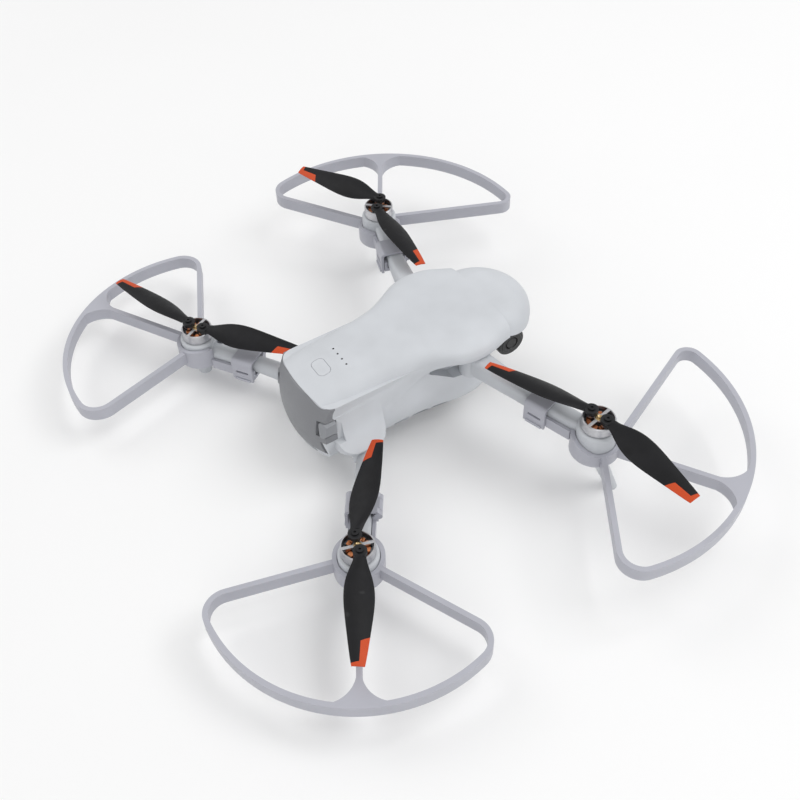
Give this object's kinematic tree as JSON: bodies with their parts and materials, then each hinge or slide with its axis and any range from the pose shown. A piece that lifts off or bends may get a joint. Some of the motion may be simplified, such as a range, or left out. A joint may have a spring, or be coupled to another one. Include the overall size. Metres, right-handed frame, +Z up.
{
  "type": "folding camera drone",
  "caption": "Palm-size folding quadcopter with two-blade rotors, clip-on propeller guards, slide-in battery and tilting nose camera, arms spread.",
  "frame": {"origin": "on the ground under the middle of the drone, where the legs stand", "axes": "+Z up, nose along -Y, the pilot's left side along +X; X is the longest extent and Z the shortest"},
  "size_m": [0.3404, 0.2773, 0.0582],
  "materials": {
    "shell_grey": "fine matt texture",
    "cap_grey": "satin",
    "guard_blue_grey": "satin translucent",
    "arm_grey": "satin",
    "blade_black": "fine matt texture with orange tip paint",
    "screw_black": "black oxide",
    "bell_silver": "satin turned",
    "copper": "enamelled wire",
    "core_steel": "laminated",
    "steel": "satin",
    "camera_black": "satin",
    "lens_glass": "coated",
    "window_dark": "smoked",
    "board_green": "solder mask",
    "sink_alloy": "bead blasted",
    "inner_plastic": "matt",
    "cell_foil": "foil",
    "ceramic": "ceramic",
    "light_guide": "clear smoked",
    "port_metal": "plated"
  },
  "bodies": {
    "body": {"top_shell": "shell_grey", "bottom_shell": "shell_grey", "led_light_guides": "light_guide", "usb_port": "port_metal", "shell_screws": "steel", "battery_bay": "inner_plastic", "battery_contacts": "inner_plastic", "main_board": "board_green", "heat_sink": "sink_alloy", "gps_module": "ceramic", "sensor_module": "inner_plastic", "sensor_window": "window_dark", "camera_bracket": "camera_black", "camera_tilt_motor": "camera_black", "arm_hinge_pins": "steel"},
    "battery": {"battery_case": "inner_plastic", "battery_cells": "cell_foil", "battery_cap": "cap_grey"},
    "battery_latch_left": {"battery_latch_left": "cap_grey"},
    "battery_latch_right": {"battery_latch_right": "cap_grey"},
    "power_button": {"power_button": "shell_grey"},
    "camera": {"camera_housing": "camera_black", "camera_lens_barrel": "camera_black", "camera_lens_glass": "lens_glass"},
    "front_arm_left": {"front_arm_left": "arm_grey", "front_stator_left": "core_steel", "front_windings_left": "copper", "front_guard_left": "guard_blue_grey"},
    "front_guard_clip_left": {"front_guard_clip_left": "guard_blue_grey"},
    "front_left_rotor": {"front_left_bell": "bell_silver", "front_left_blade_screws": "screw_black"},
    "front_left_blade_a": {"front_left_blade_a": "blade_black"},
    "front_left_blade_b": {"front_left_blade_b": "blade_black"},
    "front_arm_right": {"front_arm_right": "arm_grey", "front_stator_right": "core_steel", "front_windings_right": "copper", "front_guard_right": "guard_blue_grey"},
    "front_guard_clip_right": {"front_guard_clip_right": "guard_blue_grey"},
    "front_right_rotor": {"front_right_bell": "bell_silver", "front_right_blade_screws": "screw_black"},
    "front_right_blade_a": {"front_right_blade_a": "blade_black"},
    "front_right_blade_b": {"front_right_blade_b": "blade_black"},
    "rear_arm_left": {"rear_arm_left": "arm_grey", "rear_stator_left": "core_steel", "rear_windings_left": "copper", "rear_guard_left": "guard_blue_grey"},
    "rear_guard_clip_left": {"rear_guard_clip_left": "guard_blue_grey"},
    "rear_left_rotor": {"rear_left_bell": "bell_silver", "rear_left_blade_screws": "screw_black"},
    "rear_left_blade_a": {"rear_left_blade_a": "blade_black"},
    "rear_left_blade_b": {"rear_left_blade_b": "blade_black"},
    "rear_arm_right": {"rear_arm_right": "arm_grey", "rear_stator_right": "core_steel", "rear_windings_right": "copper", "rear_guard_right": "guard_blue_grey"},
    "rear_guard_clip_right": {"rear_guard_clip_right": "guard_blue_grey"},
    "rear_right_rotor": {"rear_right_bell": "bell_silver", "rear_right_blade_screws": "screw_black"},
    "rear_right_blade_a": {"rear_right_blade_a": "blade_black"},
    "rear_right_blade_b": {"rear_right_blade_b": "blade_black"}
  },
  "joints": [
    {"name": "battery_slide", "type": "slide", "parent": "body", "child": "battery", "axis": [0, 1, 0], "range_m": [0, 0.062]},
    {"name": "battery_latch_left_press", "type": "slide", "parent": "battery", "child": "battery_latch_left", "axis": [-1, 0, 0], "range_m": [0, 0.0014], "stiffness_N_per_m": 600, "springref_m": -0.001},
    {"name": "battery_latch_right_press", "type": "slide", "parent": "battery", "child": "battery_latch_right", "axis": [1, 0, 0], "range_m": [0, 0.0014], "stiffness_N_per_m": 600, "springref_m": -0.001},
    {"name": "power_button_press", "type": "slide", "parent": "body", "child": "power_button", "axis": [0, 0, -1], "range_m": [0, 0.0006], "stiffness_N_per_m": 600, "springref_m": -0.001},
    {"name": "camera_tilt", "type": "hinge", "parent": "body", "child": "camera", "pos_m": [0, -0.071, 0.027], "axis": [1, 0, 0], "range_deg": [-20, 90]},
    {"name": "front_arm_left_fold", "type": "hinge", "parent": "body", "child": "front_arm_left", "pos_m": [0.026, -0.0376, 0.042], "axis": [0, 0, 1], "range_deg": [0, 36]},
    {"name": "front_guard_clip_left_open", "type": "hinge", "parent": "front_arm_left", "child": "front_guard_clip_left", "pos_m": [0.06599, -0.05779, 0.0415], "axis": [0.9562, -0.2927, 0], "range_deg": [0, 18]},
    {"name": "front_left_rotor_spin", "type": "hinge", "parent": "front_arm_left", "child": "front_left_rotor", "pos_m": [0.0969, -0.0593, 0.048], "axis": [0, 0, 1], "continuous": true},
    {"name": "front_left_blade_a_fold", "type": "hinge", "parent": "front_left_rotor", "child": "front_left_blade_a", "pos_m": [0.10039, -0.06245, 0.0527], "axis": [0, 0, 1], "range_deg": [-147.6, 12.4]},
    {"name": "front_left_blade_b_fold", "type": "hinge", "parent": "front_left_rotor", "child": "front_left_blade_b", "pos_m": [0.09341, -0.05615, 0.0527], "axis": [0, 0, 1], "range_deg": [-115.3, 44.7]},
    {"name": "front_arm_right_fold", "type": "hinge", "parent": "body", "child": "front_arm_right", "pos_m": [-0.026, -0.0376, 0.042], "axis": [0, 0, -1], "range_deg": [0, 36]},
    {"name": "front_guard_clip_right_open", "type": "hinge", "parent": "front_arm_right", "child": "front_guard_clip_right", "pos_m": [-0.06599, -0.05779, 0.0415], "axis": [0.9562, 0.2927, 0], "range_deg": [0, 18]},
    {"name": "front_right_rotor_spin", "type": "hinge", "parent": "front_arm_right", "child": "front_right_rotor", "pos_m": [-0.0969, -0.0593, 0.048], "axis": [0, 0, 1], "continuous": true},
    {"name": "front_right_blade_a_fold", "type": "hinge", "parent": "front_right_rotor", "child": "front_right_blade_a", "pos_m": [-0.09229, -0.0584, 0.0527], "axis": [0, 0, 1], "range_deg": [-93.4, 66.6]},
    {"name": "front_right_blade_b_fold", "type": "hinge", "parent": "front_right_rotor", "child": "front_right_blade_b", "pos_m": [-0.10151, -0.06021, 0.0527], "axis": [0, 0, 1], "range_deg": [-70.8, 89.2]},
    {"name": "rear_arm_left_fold", "type": "hinge", "parent": "body", "child": "rear_arm_left", "pos_m": [0.03, 0.0275, 0.0155], "axis": [-0.8854, 0.4648, 0], "range_deg": [0, 85]},
    {"name": "rear_guard_clip_left_open", "type": "hinge", "parent": "rear_arm_left", "child": "rear_guard_clip_left", "pos_m": [0.06327, 0.04094, 0.0197], "axis": [0.8268, 0.5625, 0], "range_deg": [0, 26]},
    {"name": "rear_left_rotor_spin", "type": "hinge", "parent": "rear_arm_left", "child": "rear_left_rotor", "pos_m": [0.0838, 0.0641, 0.0284], "axis": [0, 0, 1], "continuous": true},
    {"name": "rear_left_blade_a_fold", "type": "hinge", "parent": "rear_left_rotor", "child": "rear_left_blade_a", "pos_m": [0.08796, 0.06629, 0.0331], "axis": [0, 0, 1], "range_deg": [-71.2, 88.8]},
    {"name": "rear_left_blade_b_fold", "type": "hinge", "parent": "rear_left_rotor", "child": "rear_left_blade_b", "pos_m": [0.07964, 0.06191, 0.0331], "axis": [0, 0, 1], "range_deg": [-90.1, 69.9]},
    {"name": "rear_arm_right_fold", "type": "hinge", "parent": "body", "child": "rear_arm_right", "pos_m": [-0.03, 0.0275, 0.0155], "axis": [-0.8854, -0.4648, 0], "range_deg": [0, 85]},
    {"name": "rear_guard_clip_right_open", "type": "hinge", "parent": "rear_arm_right", "child": "rear_guard_clip_right", "pos_m": [-0.06327, 0.04094, 0.0197], "axis": [0.8268, -0.5625, 0], "range_deg": [0, 26]},
    {"name": "rear_right_rotor_spin", "type": "hinge", "parent": "rear_arm_right", "child": "rear_right_rotor", "pos_m": [-0.0838, 0.0641, 0.0284], "axis": [0, 0, 1], "continuous": true},
    {"name": "rear_right_blade_a_fold", "type": "hinge", "parent": "rear_right_rotor", "child": "rear_right_blade_a", "pos_m": [-0.07932, 0.06268, 0.0331], "axis": [0, 0, 1], "range_deg": [-55.5, 104.5]},
    {"name": "rear_right_blade_b_fold", "type": "hinge", "parent": "rear_right_rotor", "child": "rear_right_blade_b", "pos_m": [-0.08828, 0.06552, 0.0331], "axis": [0, 0, 1], "range_deg": [-65.8, 94.2]}
  ]
}
